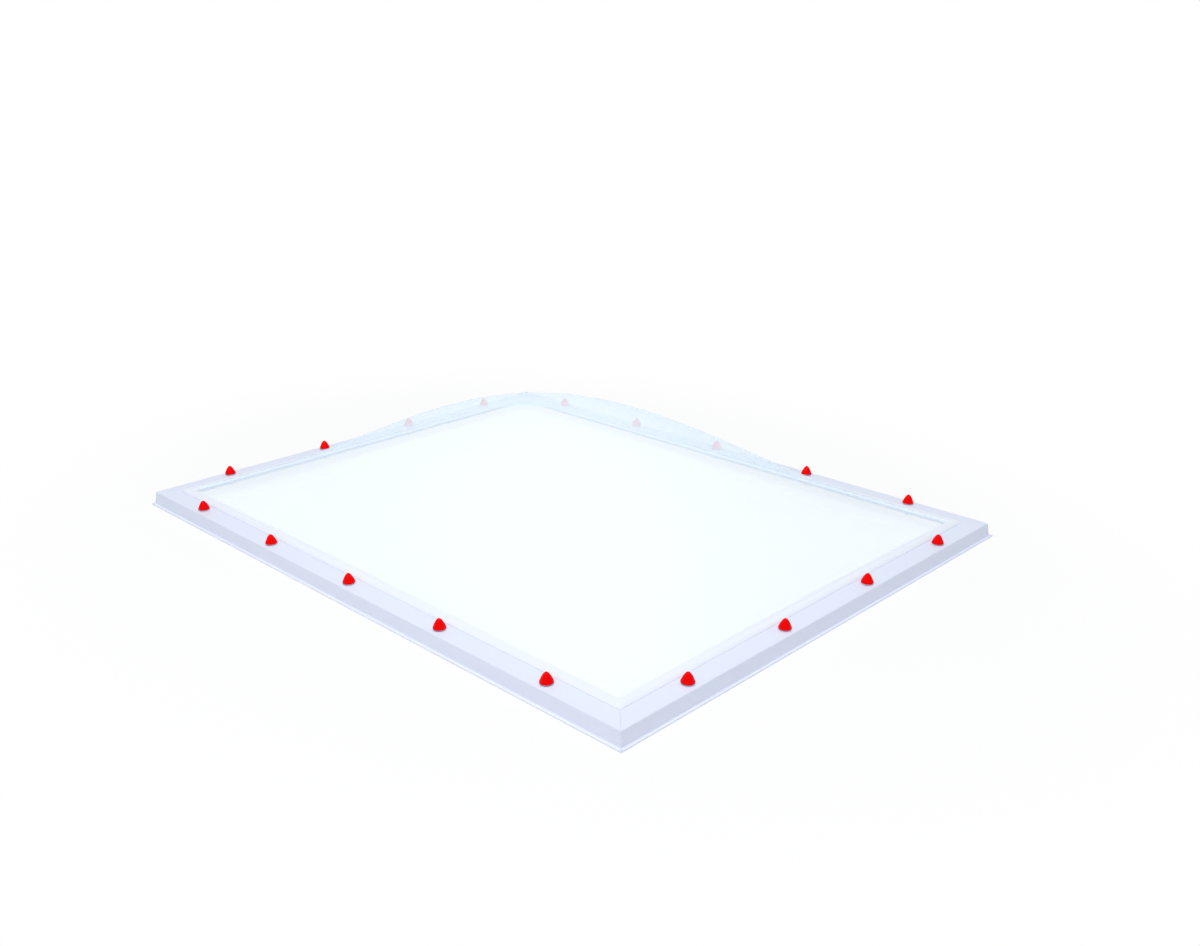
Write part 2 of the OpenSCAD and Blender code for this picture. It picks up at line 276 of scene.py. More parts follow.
class Nodes:
    """A node tree with one output."""

    def __init__(self, tree, output):
        self.tree = tree
        tree.nodes.clear()
        self.output = tree.nodes.new(output)

    def make(self, kind, settings=None, sockets=None, out=0):
        """Adds one node: its settings first, then the values or links of its sockets."""
        node = self.tree.nodes.new(kind)
        for key, value in (settings or {}).items():
            setattr(node, key, value)
        self.feed(node, sockets or {})
        return Field(self, node.outputs[out])

    def feed(self, node, sockets):
        """Sets or links sockets of a node."""
        for key, value in sockets.items():
            if isinstance(value, Field):
                self.tree.links.new(value.socket, node.inputs[key])
            else:
                node.inputs[key].default_value = value

    def show(self, shader):
        """Links a shader to the output, in place of the one before."""
        self.tree.links.new(shader.socket, self.output.inputs["Surface"])

    def seen(self):
        """1 for what the camera sees straight on, in a reflection or through glass."""
        camera, glossy, through = (
            self.make("ShaderNodeLightPath", out=name)
            for name in ("Is Camera Ray", "Is Glossy Ray", "Is Transmission Ray")
        )
        rays = {0: camera + glossy + through, 1: 1.0}
        return self.make("ShaderNodeMath", {"operation": "MINIMUM"}, rays)


class Finish(Nodes):
    """A procedural material; constant values go straight onto the shader's own sockets."""

    def __init__(self, name, **constants):
        self.material = bpy.data.materials.new(name)
        self.material.use_nodes = True
        super().__init__(self.material.node_tree, "ShaderNodeOutputMaterial")
        self.lit = self.make("ShaderNodeBsdfPrincipled", None, constants)
        self.shader = self.lit.socket.node
        self.show(self.lit)

    def done(self, tint, roughness, normal, **others):
        """Feeds what varies into the shader and gives the material."""
        varying = {"Base Color": tint, "Roughness": roughness, "Normal": normal}
        self.feed(self.shader, {**varying, **others})
        return self.material

    def place(self):
        """Position on the piece, in metres."""
        return self.make("ShaderNodeTexCoord", out="Object")

    def layer(self, name, out="Fac"):
        """A value or a vector that the piece's points carry."""
        return self.make("ShaderNodeAttribute", {"attribute_name": name}, out=out)

    def facing(self):
        """0 where the surface faces the eye and 1 where it turns away, for dulling gloss."""
        return self.make("ShaderNodeLayerWeight", None, {"Blend": 0.5}, "Facing")

    def stretched(self, vector, scale):
        """Vector times a scale for each axis."""
        sockets = {"Vector": vector, "Scale": scale}
        return self.make("ShaderNodeMapping", {"vector_type": "POINT"}, sockets)

    def noise(self, vector, scale, detail=3.0, roughness=0.5):
        """Soft noise from 0 to 1."""
        sockets = {"Vector": vector, "Scale": scale, "Detail": detail, "Roughness": roughness}
        return self.make("ShaderNodeTexNoise", None, sockets)

    def cells(self, vector, scale):
        """Distance to the middle of the nearest cell."""
        return self.make("ShaderNodeTexVoronoi", None, {"Vector": vector, "Scale": scale})

    def between(self, value, low, high):
        """Smooth step of a value from 0 at low to 1 at high."""
        return self.make(
            "ShaderNodeMapRange",
            {"interpolation_type": "SMOOTHSTEP"},
            {"Value": value, "From Min": low, "From Max": high},
        )

    def mixed(self, share, first, second):
        """Colour that goes from the first to the second with the share."""
        sockets = {0: share, 6: first, 7: second}
        return self.make("ShaderNodeMix", {"data_type": "RGBA"}, sockets, 2)

    def tint(self, share, rgb, low, high):
        """A colour that goes from low to high times itself with the share."""
        return self.mixed(share, shade(rgb, low), shade(rgb, high))

    def bump(self, height, distance, strength):
        """Normal tilted by a height field; the distance is in metres."""
        sockets = {"Height": height, "Distance": distance, "Strength": strength}
        return self.make("ShaderNodeBump", None, sockets)


def shade(rgb, factor=1.0):
    """Colour times a factor, with full alpha."""
    return tuple(min(1.0, c * factor) for c in rgb[:3]) + (1.0,)


def opal_finish(colours):
    """Drawn opal sheet: faint thickness clouds in tint and cover, draw waves and orange peel.

    Its inner skin covers less than its outer one, where it is bonded it takes the tint of the
    frame, and its gloss dulls where it turns away from the eye. Away from the bond it carries a
    painted glow: emission that stands in for daylight scattered inside the sheet.
    """
    f = Finish("opal_sheet", **{"IOR": 1.49, "Specular IOR Level": 0.12, "Emission Strength": 1.0})
    place = f.place()
    clouds = f.noise(place, 3.2, 2.0)
    peel = f.noise(place, 420.0, 2.0)
    waves = f.noise(f.stretched(place, (1.0, 1.3, 0.4)), 6.0, 1.0)
    dull = f.between(f.facing(), 0.55, 0.9)
    bonded, inner = f.layer("bonded"), f.layer("inner")
    sheet = f.tint(clouds, colours.opal, 0.985, 1.015)
    skin = (clouds * 0.03 + colours.cover) * (1 - inner * (1 - colours.inner_cover))
    return f.done(
        f.mixed(bonded, sheet, shade(colours.rim)),
        clouds * 0.06 + peel * 0.05 + 0.17 + dull * 0.75,
        f.bump(peel * 0.004 + waves, 0.0001, 0.2),
        **{
            # Painted glow: emission on the sheet away from its bonded rim, standing in for
            # scattered daylight.
            "Emission Color": f.tint(bonded, colours.painted_glow, 1.0, 0.0),
            "Alpha": skin + bonded * colours.bond_cover,
        },
    )


def frame_finish(colours):
    """Extruded plastic: die lines that run with the rail, faint flow clouds and a satin skin."""
    f = Finish("frame_plastic", **{"IOR": 1.5, "Specular IOR Level": 0.32})
    lines = f.noise(f.stretched(f.layer("run", "Vector"), (0.6, 900.0, 1.0)), 1.0, 4.0, 0.65)
    clouds = f.noise(f.place(), 9.0)
    grain = f.noise(f.place(), 1600.0, 2.0)
    return f.done(
        f.tint(lines * 0.55 + clouds * 0.45, colours.frame, 0.972, 1.028),
        lines * 0.10 + grain * 0.08 + 0.34,
        f.bump(lines + grain * 0.35, 0.00012, 0.6),
    )


def collar_finish(colours):
    """Moulded plastic of the cap bases: the frame's colour with a fine eroded grain."""
    f = Finish("collar_plastic", **{"IOR": 1.5, "Specular IOR Level": 0.32})
    grain = f.noise(f.place(), 1900.0)
    return f.done(
        f.tint(f.noise(f.place(), 60.0, 2.0), colours.frame, 0.96, 1.02),
        grain * 0.16 + 0.34,
        f.bump(grain, 0.00006, 0.6),
    )


def cap_finish(colours):
    """Red moulded plastic: flow marks in the colour, a fine grain and a thin gloss."""
    f = Finish("cap_plastic", **{"IOR": 1.46, "Specular IOR Level": 0.06, "Coat Roughness": 0.14})
    flow = f.noise(f.stretched(f.place(), (1.0, 1.0, 2.2)), 130.0, 3.0, 0.6)
    grain = f.noise(f.place(), 2600.0, 2.0)
    return f.done(
        f.tint(flow, colours.cap, 0.90, 1.10),
        flow * 0.10 + grain * 0.10 + 0.30,
        f.bump(grain + flow * 0.6, 0.00005, 0.5),
        **{"Coat Weight": flow * 0.03 + 0.01},
    )


def tape_finish(colours):
    """Foam tape: small open cells in a pale skin."""
    f = Finish("foam_tape", **{"IOR": 1.45, "Specular IOR Level": 0.2})
    cells = f.cells(f.place(), 900.0)
    clouds = f.noise(f.place(), 40.0, 2.0)
    return f.done(
        f.tint(cells * 0.6 + clouds * 0.4, colours.tape, 0.86, 1.08),
        cells * 0.15 + 0.72,
        f.bump(cells, 0.0003, 0.5),
    )


def foam_finish(colours):
    """Closed-cell foam: round cells of two sizes, cut by the knife into a soft matt skin."""
    f = Finish("seal_foam", **{"IOR": 1.45, "Specular IOR Level": 0.18})
    place = f.place()
    cells = f.cells(place, 700.0) * 0.6 + f.cells(place, 260.0) * 0.4
    clouds = f.noise(place, 22.0)
    return f.done(
        f.tint(cells * 0.7 + clouds * 0.3, colours.foam, 0.93, 1.05),
        cells * 0.14 + 0.76,
        f.bump(cells, 0.0006, 0.6),
    )


def rubber_finish(colours):
    """Moulded rubber: a dusty bloom and a fine grain."""
    f = Finish("washer_rubber", **{"IOR": 1.5, "Specular IOR Level": 0.25})
    bloom = f.noise(f.place(), 190.0, 4.0, 0.6)
    return f.done(
        f.tint(bloom, colours.rubber, 0.88, 1.08),
        bloom * 0.2 + 0.58,
        f.bump(f.noise(f.place(), 1500.0, 2.0), 0.00008, 0.6),
    )


def steel_finish(colours):
    """Turned stainless steel: tool rings across the shank and dull spots."""
    f = Finish("screw_steel", **{"Metallic": 1.0})
    rings = f.noise(f.stretched(f.place(), (60.0, 60.0, 5200.0)), 1.0, 2.0)
    dull = f.noise(f.place(), 260.0)
    return f.done(
        f.tint(dull, colours.steel, 0.82, 1.12),
        rings * 0.16 + dull * 0.14 + 0.18,
        f.bump(rings, 0.00003, 0.5),
    )


def aluminium_finish(colours):
    """Mill-finish aluminium: roll lines along X and a pale oxide bloom."""
    f = Finish("key_aluminium", **{"Metallic": 1.0})
    rolled = f.noise(f.stretched(f.place(), (12.0, 2600.0, 2600.0)), 1.0)
    bloom = f.noise(f.place(), 45.0)
    return f.done(
        f.tint(bloom, colours.aluminium, 0.88, 1.06),
        rolled * 0.18 + bloom * 0.12 + 0.24,
        f.bump(rolled, 0.00004, 0.5),
    )


def put(name, data):
    """Puts a new object into the scene."""
    thing = bpy.data.objects.new(name, data)
    bpy.context.scene.collection.objects.link(thing)
    return thing


def put_mesh(name, points, faces, material, replaces, layers=None, sharp=35.0):
    """Puts whole arrays of points and faces into a mesh that rides with the body.

    faces is a list of arrays, each of faces with the same number of corners; layers names
    values of the points.
    """
    mesh = bpy.data.meshes.new(name)
    corners = np.concatenate([f.ravel() for f in faces])
    sizes = np.concatenate([np.full(len(f), f.shape[1]) for f in faces])
    mesh.vertices.add(len(points))
    mesh.vertices.foreach_set("co", np.asarray(points, np.float32).ravel())
    mesh.loops.add(len(corners))
    mesh.loops.foreach_set("vertex_index", corners.astype(np.int32))
    mesh.polygons.add(len(sizes))
    mesh.polygons.foreach_set("loop_start", (np.cumsum(sizes) - sizes).astype(np.int32))
    mesh.update(calc_edges=True)
    if mesh.validate():
        raise RuntimeError(f"{name} has faulty faces")
    for key, values in (layers or {}).items():
        kind, field = ("FLOAT", "value") if np.ndim(values) == 1 else ("FLOAT_VECTOR", "vector")
        layer = mesh.attributes.new(key, kind, "POINT")
        layer.data.foreach_set(field, np.asarray(values, np.float32).ravel())
    mesh.shade_smooth()
    mesh.set_sharp_from_angle(angle=math.radians(sharp))
    mesh.materials.append(material)
    piece = put(name, mesh)
    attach(piece, BODY)
    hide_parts(*replaces)
    return piece


def grid_quads(rows, columns, wrap_rows=False, wrap_columns=False):
    """Quads of a grid; a wrapped direction joins its last line to its first."""
    i = np.arange(rows if wrap_rows else rows - 1)[:, None]
    j = np.arange(columns if wrap_columns else columns - 1)[None, :]
    near, far, beside = i * columns, (i + 1) % rows * columns, (j + 1) % columns
    quads = np.broadcast_arrays(near + j, near + beside, far + beside, far + j)
    return np.stack(quads, -1).reshape(-1, 4)


def unit(vectors):
    """Vectors of length one."""
    return vectors / np.linalg.norm(vectors, axis=1, keepdims=True)


def rounded_loop(corners, radii, steps=5):
    """Closed loop in which an arc takes the place of each corner.

    The arc's centre lies on the corner's bisector, at the radius over the sine of half the
    corner's angle, and the arc turns from one side's touching point to the other's.
    """
    corners = np.asarray(corners, float)
    radii = np.broadcast_to(np.asarray(radii, float), len(corners))[:, None]
    back = unit(np.roll(corners, 1, 0) - corners)
    ahead = unit(np.roll(corners, -1, 0) - corners)
    half = np.arccos(np.clip((back * ahead).sum(1), -1, 1))[:, None] / 2
    centre = corners + unit(back + ahead) * radii / np.sin(half)
    start = corners + back * radii / np.tan(half) - centre
    bend = -np.sign(back[:, 0] * ahead[:, 1] - back[:, 1] * ahead[:, 0])[:, None]
    angle = bend * (np.pi - 2 * half) * np.linspace(0, 1, steps + 1)[None, :]
    x = start[:, :1] * np.cos(angle) - start[:, 1:] * np.sin(angle)
    y = start[:, :1] * np.sin(angle) + start[:, 1:] * np.cos(angle)
    return (centre[:, None, :] + np.stack([x, y], -1)).reshape(-1, 2)


def loop_normals(loop):
    """Outward normals of a closed loop that runs anticlockwise: its direction turned right."""
    along = unit(np.roll(loop, -1, 0) - np.roll(loop, 1, 0))
    return np.stack([along[:, 1], -along[:, 0]], -1)


def side_length(side, sizes):
    """Length of a side over the skirt's top edge."""
    return sizes.long_side if side % 2 == 0 else sizes.short_side


def on_side(points, side, sizes):
    """Points put onto a side of the frame.

    They come with X along the side, Y inward from the skirt's top edge and Z up.
    """
    offset = side_length(side + 1, sizes) / 2
    x, y, z = points[..., 0], points[..., 1] - offset, points[..., 2]
    c, s = ((1, 0), (0, 1), (-1, 0), (0, -1))[side]
    return np.stack([c * x - s * y, s * x + c * y, z], -1)


def section_faces(loops):
    """Triangles that fill the first loop less the others, anticlockwise."""
    flat = np.array(tessellate_polygon([np.pad(p, ((0, 0), (0, 1))).tolist() for p in loops]))
    a, b, c = (np.concatenate(loops)[flat[:, k]] for k in range(3))
    ab, ac = b - a, c - a
    area = ab[:, 0] * ac[:, 1] - ab[:, 1] * ac[:, 0]
    return np.where(area[:, None] > 0, flat, flat[:, ::-1])


def mitred_bar(loop, side, sizes, radius, sink, holes=()):
    """A closed section of insets and heights, carried along one side from mitre to mitre.

    Each section point runs straight to its corner arc, turns 45 degrees round it and ends in
    the mitre's plane. Its last row is sunk along the section's normals, which leaves the groove
    of the joint. Returns the points, the faces and the distances along and round the bar.
    """
    half = side_length(side, sizes) / 2
    gap, past = sizes.mitre_gap, sizes.mitre_gap + 2 * sink
    pull = np.array([gap, past, past, past, past, past, 0, END_STRIP])[:, None]
    depth = np.array([sink, 0, 0, 0, 0, 0, 0, 0])[:, None]
    normals = loop_normals(loop)
    inset = loop[None, :, 0] - depth * normals[None, :, 0]
    height = loop[None, :, 1] - depth * normals[None, :, 1]
    radius = np.broadcast_to(radius, len(loop))[None, :]
    reach = half - inset - radius * (1 - np.sin(MITRE_TURNS)) - pull
    inward = inset + radius * (1 - np.cos(MITRE_TURNS))
    x = np.concatenate([-reach, reach[::-1]])
    y = np.concatenate([inward, inward[::-1]])
    z = np.concatenate([height, height[::-1]])
    rows, columns = x.shape
    points = np.stack([x, y, z], -1).reshape(-1, 3)
    faces = [grid_quads(rows, columns, wrap_columns=True)]
    around = np.cumsum(np.linalg.norm(np.roll(loop, -1, 0) - loop, axis=1))
    run = np.stack(np.broadcast_arrays(x, around, side * RAIL_SHIFT), -1).reshape(-1, 3)
    ends = [np.arange(columns)]
    for hole in holes:
        straight = half - hole[:, 0] - gap
        tube = [np.stack([s * straight, hole[:, 0], hole[:, 1]], -1) for s in (-1, 1)]
        start = len(points)
        points = np.concatenate([points, *tube])
        run = np.concatenate([run, *tube])
        faces.append(start + grid_quads(2, len(hole), wrap_columns=True))
        ends.append(start + np.arange(len(hole)))
    flat = section_faces([loop, *holes])
    first = np.concatenate(ends)
    last = np.concatenate([ends[0] + (rows - 1) * columns, *(e + len(e) for e in ends[1:])])
    faces += [first[flat[:, ::-1]], last[flat]]
    return on_side(points, side, sizes), faces, run


def put_bars(name, node, loop, context, radius, sink, finish, holes=()):
    """Puts a bar of one section on each side of the frame."""
    sizes, material = context.scene.skylight_frame, finish(context.scene.skylight_colours)
    for side, end in enumerate(SIDES):
        points, faces, run = mitred_bar(loop, side, sizes, radius, sink, holes)
        layers = {"run": run}
        put_mesh(f"{name}_{end}", points, faces, material, [f"{node}_{end}"], layers)


def top_height(inset, sizes):
    """Height of the sloped top at an inset from the skirt."""
    return sizes.skirt_height + inset * math.tan(sizes.top_fall)


def under_height(inset, sizes):
    """Height of the underside of the top's wall at an inset."""
    return top_height(inset, sizes) - sizes.wall / math.cos(sizes.top_fall)


def rail_section(sizes, port_inset):
    """Section of a frame rail: lip, flared skirt, fold, top, and a box with three chambers."""
    t, flare, edge, wall = sizes.wall, sizes.skirt_flare, sizes.edge_radius, sizes.inner_wall
    fall = sizes.skirt_height - t
    lean = math.hypot(flare, fall) / fall
    lip = -flare - sizes.lip_out
    bottom = sizes.skirt_height - sizes.box_depth
    web = bottom + wall
    inner, top = sizes.box_inset, sizes.top_width

    def skirt_inside(height):
        """Inset of the skirt's inner face at a height."""
        return t * lean - flare * (sizes.skirt_height - height) / fall

    def chamber(low, high, left):
        """One chamber, from an inset to another; its lower corner may lie further out."""
        top_low, top_high = (low, under_height(low, sizes)), (high, under_height(high, sizes))
        return rounded_loop([(left, web), top_low, top_high, (high, web)], edge / 2, steps=3)

    corners = [
        ((lip, t), 1.3 * edge),
        ((lip, 0), edge),
        ((skirt_inside(0), 0), edge),
        ((skirt_inside(bottom), bottom), edge),
        ((inner, bottom), edge),
        ((inner, under_height(inner, sizes)), edge),
        ((top, under_height(top, sizes)), edge),
        ((top, top_height(top, sizes)), 1.3 * edge),
        ((0, sizes.skirt_height), sizes.fold_radius),
        ((-flare, t), 2 * edge),
    ]
    places, radii = zip(*corners)
    port = (port_inset - sizes.port_width / 2, port_inset + sizes.port_width / 2)
    holes = [
        chamber(skirt_inside(under_height(t, sizes)), port[0] - wall, skirt_inside(web)),
        chamber(port[0], port[1], port[0]),
        chamber(port[1] + wall, inner - wall, port[1] + wall),
    ]
    return rounded_loop(places, radii), holes


def corner_radii(inset, sizes):
    """Radii of a rail's corner in plan: they fade inward to a tenth, and to 0.6 at the lip."""
    fade = np.clip(1 - inset / (4 * sizes.corner_radius), 0.1, 1)
    lip = np.clip((inset + sizes.skirt_flare + sizes.lip_out) / sizes.lip_out, 0.6, 1)
    return sizes.corner_radius * fade * lip


def turned(profile, segments, modulate=None):
    """A profile of radii and heights turned about Z, from pole to pole or as a closed ring.

    Point (i, j) lies at radius i along angle j. Profiles run downward on the outside, so faces
    point outward.
    """
    angle = np.linspace(0, 2 * np.pi, segments, endpoint=False)
    radius = np.broadcast_to(profile[:, :1], (len(profile), segments))
    height = np.broadcast_to(profile[:, 1:2], (len(profile), segments))
    if modulate is not None:
        radius = modulate(radius, height, angle[None, :])
    points = np.stack([radius * np.cos(angle), radius * np.sin(angle), height], -1)
    if profile[0, 0] > 0:
        return points.reshape(-1, 3), [grid_quads(len(profile), segments, True, True)[:, ::-1]]
    rings = points[1:-1].reshape(-1, 3)
    upper, lower = len(rings), len(rings) + 1
    points = np.concatenate([rings, [[0, 0, profile[0, 1]], [0, 0, profile[-1, 1]]]])
    j = np.arange(segments)
    beside = (j + 1) % segments
    end = upper - segments
    top = np.stack([np.full(segments, upper), j, beside], -1)
    bottom = np.stack([np.full(segments, lower), end + beside, end + j], -1)
    return points, [grid_quads(len(profile) - 2, segments, False, True)[:, ::-1], top, bottom]


def ogive(radius, height, power, bands):
    """Radii and heights, foot to tip: the radius falls as the share of height left, to a power."""
    left = np.linspace(1, 0, bands + 1)
    return np.stack([radius * left ** (2 * power), height * (1 - left**2)], -1)


def hub_radius(fixings):
    """Radius of the hub that a cap snaps onto."""
    return fixings.cap_d / 2 - fixings.cap_foot - fixings.snap_play


def at_fixings(points, faces, sizes, fixings):
    """Copies of an upright shape at every fixing, square to the sloped top."""
    c, s = math.cos(sizes.top_fall), math.sin(sizes.top_fall)
    x, y, z = points.T
    upright = np.stack([x, c * y - s * z, s * y + c * z], -1)
    seat = np.array([0, fixings.inset, top_height(fixings.inset, sizes)])
    spacing = (fixings.count_long, fixings.end_long), (fixings.count_short, fixings.end_short)
    placed = []
    for side in range(4):
        copies, end = spacing[side % 2]
        reach = side_length(side, sizes) / 2 - end
        along = np.linspace(-reach, reach, copies)[:, None, None] * np.array([1, 0, 0])
        placed.append(on_side(upright[None] + seat + along, side, sizes).reshape(-1, 3))
    placed = np.concatenate(placed)
    starts = np.arange(0, len(placed), len(points))[:, None, None]
    return placed, [(f[None] + starts).reshape(-1, f.shape[1]) for f in faces]


def put_turned(name, node, profile, context, finish, modulate=None):
    """Puts a turned shape on every fixing."""
    scene = context.scene
    shape = turned(profile, SEGMENTS[node], modulate)
    points, faces = at_fixings(*shape, scene.skylight_frame, scene.skylight_fixings)
    put_mesh(name, points, faces, finish(scene.skylight_colours), [node])


def dome_height(x, y, sizes, dome):
    """Height of the dome's upper surface.

    Inside the springing line it is the rise times the product of one swell along X and one
    along Y, to the softness; a swell is one less the distance over the half span, to the
    fullness. The draw radius fades it in at the line. Outside, the sheet lies on the tape,
    parallel to the sloped top.
    """
    spring_inset = dome.rim_inset + dome.rim_width
    span_x = sizes.long_side / 2 - spring_inset
    span_y = sizes.short_side / 2 - spring_inset
    swell_x = 1 - np.minimum(1, np.abs(x) / span_x) ** dome.fullness
    swell_y = 1 - np.minimum(1, np.abs(y) / span_y) ** dome.fullness
    within = np.minimum(span_x - np.abs(x), span_y - np.abs(y))
    fade = 1 - np.exp(-np.maximum(0, within) / dome.springing_radius)
    base = sizes.skirt_height + sizes.tape_thickness + dome.sheet
    inset = spring_inset + np.minimum(0, within)
    rim = base + inset * math.tan(sizes.top_fall)
    return rim + dome.rise * (swell_x * swell_y) ** dome.softness * fade


def graded_line(span, rim, cells):
    """Grid line from end to end, over the dome and its rim.

    Its places follow the sine of even steps to a quarter turn, so cells narrow to the springing.
    """
    inside = span * np.sin(np.linspace(0, np.pi / 2, cells + 1))[1:]
    half = np.concatenate([inside, span + rim * RIM_LINES])
    return np.concatenate([-half[::-1], [0.0], half])


class SKYLIGHT_OT_dome(bpy.types.Operator):
    """Draw the opal sheet with its flat rim and bevelled cut edge"""

    bl_idname = "skylight.dome"
    bl_label = "Dome"

    def execute(self, context):
        sizes, dome = context.scene.skylight_frame, context.scene.skylight_dome
        inset = dome.rim_inset + dome.rim_width
        span_x, span_y = sizes.long_side / 2 - inset, sizes.short_side / 2 - inset
        line_x = graded_line(span_x, dome.rim_width, dome.cells_long)
        line_y = graded_line(span_y, dome.rim_width, dome.cells_short)
        x, y = np.meshgrid(line_x, line_y)
        upper = np.stack([x, y, dome_height(x, y, sizes, dome)], -1).reshape(-1, 3)
        lower = upper - [0, 0, dome.sheet]
        rows, columns = x.shape
        index = np.arange(rows * columns).reshape(rows, columns)
        rim = np.concatenate([index[0, :-1], index[:-1, -1], index[-1, :0:-1], index[:0:-1, 0]])
        quads = grid_quads(rows, columns)
        cut = np.array([span_x, span_y]) + dome.rim_width
        stretch = cut / [line_x[-1], line_y[-1]]
        wide = upper[rim][None, :, :2] * (1 + (stretch - 1) * BEVEL_OUT[..., None])
        drop = dome_height(wide[..., 0], wide[..., 1], sizes, dome) - dome.sheet * BEVEL_DOWN
        edge = np.concatenate([wide, drop[..., None]], -1).reshape(-1, 3)
        total, ring = len(upper), len(rim)
        bevel = 2 * total + np.arange(len(edge)).reshape(-1, ring)
        strip = np.concatenate([[rim], bevel, [total + rim]])
        beside = np.roll(strip, -1, 1)
        sides = np.stack([strip[:-1], strip[1:], beside[1:], beside[:-1]], -1).reshape(-1, 4)
        inward = ([sizes.long_side / 2, sizes.short_side / 2] - np.abs(upper[:, :2])).min(1)
        bonded = np.clip((sizes.top_width - inward) / dome.bond_fade + 0.5, 0, 1)
        layers = {
            "bonded": np.concatenate([bonded, bonded, np.ones(len(edge))]),
            "inner": np.concatenate([np.zeros(total), np.ones(total), np.zeros(len(edge))]),
        }
        points = np.concatenate([upper, lower, edge])
        faces = [quads, total + quads[:, ::-1], sides]
        finish = opal_finish(context.scene.skylight_colours)
        sheet = put_mesh("dome_sheet", points, faces, finish, ["dome"], layers, sharp=60.0)
        sheet.visible_shadow = False
        return {"FINISHED"}


class SKYLIGHT_OT_rails(bpy.types.Operator):
    """Run the four hollow frame rails, with welded mitres and softly rounded corners"""

    bl_idname = "skylight.rails"
    bl_label = "Frame rails"

    def execute(self, context):
        sizes = context.scene.skylight_frame
        outer, holes = rail_section(sizes, context.scene.skylight_fixings.inset)
        radii, sink = corner_radii(outer[:, 0], sizes), sizes.weld_groove
        put_bars("rail", "frame_rail", outer, context, radii, sink, frame_finish, holes)
        return {"FINISHED"}


class SKYLIGHT_OT_tapes(bpy.types.Operator):
    """Lay the four glazing tapes under the dome's rim"""

    bl_idname = "skylight.tapes"
    bl_label = "Glazing tapes"

    def execute(self, context):
        sizes, dome = context.scene.skylight_frame, context.scene.skylight_dome
        outer = dome.rim_inset + sizes.tape_margin / 2
        inner = dome.rim_inset + dome.rim_width - sizes.tape_margin
        low, high, thick = top_height(outer, sizes), top_height(inner, sizes), sizes.tape_thickness
        ring = [(outer, low), (inner, high), (inner, high + thick), (outer, low + thick)]
        loop = rounded_loop(ring, sizes.tape_edge)
        radius, sink = sizes.soft_corner, sizes.mitre_gap
        put_bars("tape", "glazing_tape", loop, context, radius, sink, tape_finish)
        return {"FINISHED"}


class SKYLIGHT_OT_seals(bpy.types.Operator):
    """Lay the four grooved base seals that meet the upstand"""

    bl_idname = "skylight.seals"
    bl_label = "Base seals"

    def execute(self, context):
        sizes = context.scene.skylight_frame
        top = sizes.skirt_height - sizes.box_depth
        low = top - sizes.seal_thickness
        left, right = sizes.seal_inset, sizes.seal_inset + sizes.seal_width
        mouths = left + sizes.seal_width * GROOVE_PLACES
        grooves = zip(mouths, low + sizes.seal_groove * GROOVE_DEPTHS)
        ring = [(left, low), *grooves, (right, low), (right, top), (left, top)]
        foot, edge = sizes.seal_foot, sizes.seal_edge
        radii = [foot, *[sizes.groove_edge] * len(mouths), foot, edge, edge]
        loop = rounded_loop(ring, radii, steps=4)
        soft = sizes.soft_corner
        put_bars("seal", "base_seal", loop, context, soft, soft, foam_finish)
        return {"FINISHED"}


class SKYLIGHT_OT_screws(bpy.types.Operator):
    """Turn the threaded hexagon-head screws"""

    bl_idname = "skylight.screws"
    bl_label = "Screws"

    def execute(self, context):
        fix = context.scene.skylight_fixings
        seat = fix.washer_thickness + fix.base_thickness
        collar, tip = seat + fix.collar_thickness, seat - fix.screw_length
        head = collar + fix.head_height
        corner, wide = fix.head_flats / math.sqrt(3), fix.collar_radius
        edge, plain, step = fix.small_edge, fix.plain_shank, fix.thread_step
        shank, core = fix.screw_d / 2, fix.screw_d / 2 - fix.thread_depth
        top = [
            (0, head),
            (fix.head_face * fix.head_flats / 2, head),
            (corner, head - fix.head_chamfer),
            (corner, collar + edge),
            (wide - fix.collar_edge, collar),
            (wide, collar - fix.collar_edge),
            (wide, seat + edge),
            (wide - edge, seat),
            (shank, seat),
            (shank, seat - plain + step),
        ]
        rows = int(fix.screw_length / fix.thread_pitch * THREAD_ROWS)
        heights = np.linspace(seat - plain - step, tip + plain + step, rows)
        taper = np.clip((heights - tip) / fix.point_length, fix.blunt_tip, 1)
        profile = np.concatenate([top, np.stack([shank * taper, heights], -1), [(0, tip)]])

        def modulate(radius, height, angle):
            """The head's radius is cut to a hexagon; the shank's follows the flank of a helix."""
            flat = fix.head_flats / 2 / np.cos(np.mod(angle, np.pi / 3) - np.pi / 6)
            hexed = np.where(height > collar + edge / 2, np.minimum(radius, flat), radius)
            phase = np.mod(height / fix.thread_pitch - angle / (2 * np.pi), 1)
            ridge = np.clip(1 - np.abs(2 * phase - 1) * fix.thread_flank, 0, 1)
            cut = 1 - (1 - core / shank) * (1 - ridge)
            return np.where(height < seat - plain, hexed * cut, hexed)

        put_turned("hex_screws", "screws", profile, context, steel_finish, modulate)
        return {"FINISHED"}


class SKYLIGHT_OT_washers(bpy.types.Operator):
    """Turn the sealing washers, bulged by the screws' load"""

    bl_idname = "skylight.washers"
    bl_label = "Sealing washers"

    def execute(self, context):
        fix = context.scene.skylight_fixings
        hub, top = hub_radius(fix), fix.washer_thickness
        hole = fix.screw_d / 2 + fix.pilot_play
        ring = [(hole, 0), (hub, 0), (hub, top), (hole, top)]
        radii = [fix.fine_edge, fix.washer_bulge, fix.washer_bulge, fix.fine_edge]
        loop = rounded_loop(ring, radii)[::-1]
        put_turned("washer_rings", "washers", loop, context, rubber_finish)
        return {"FINISHED"}


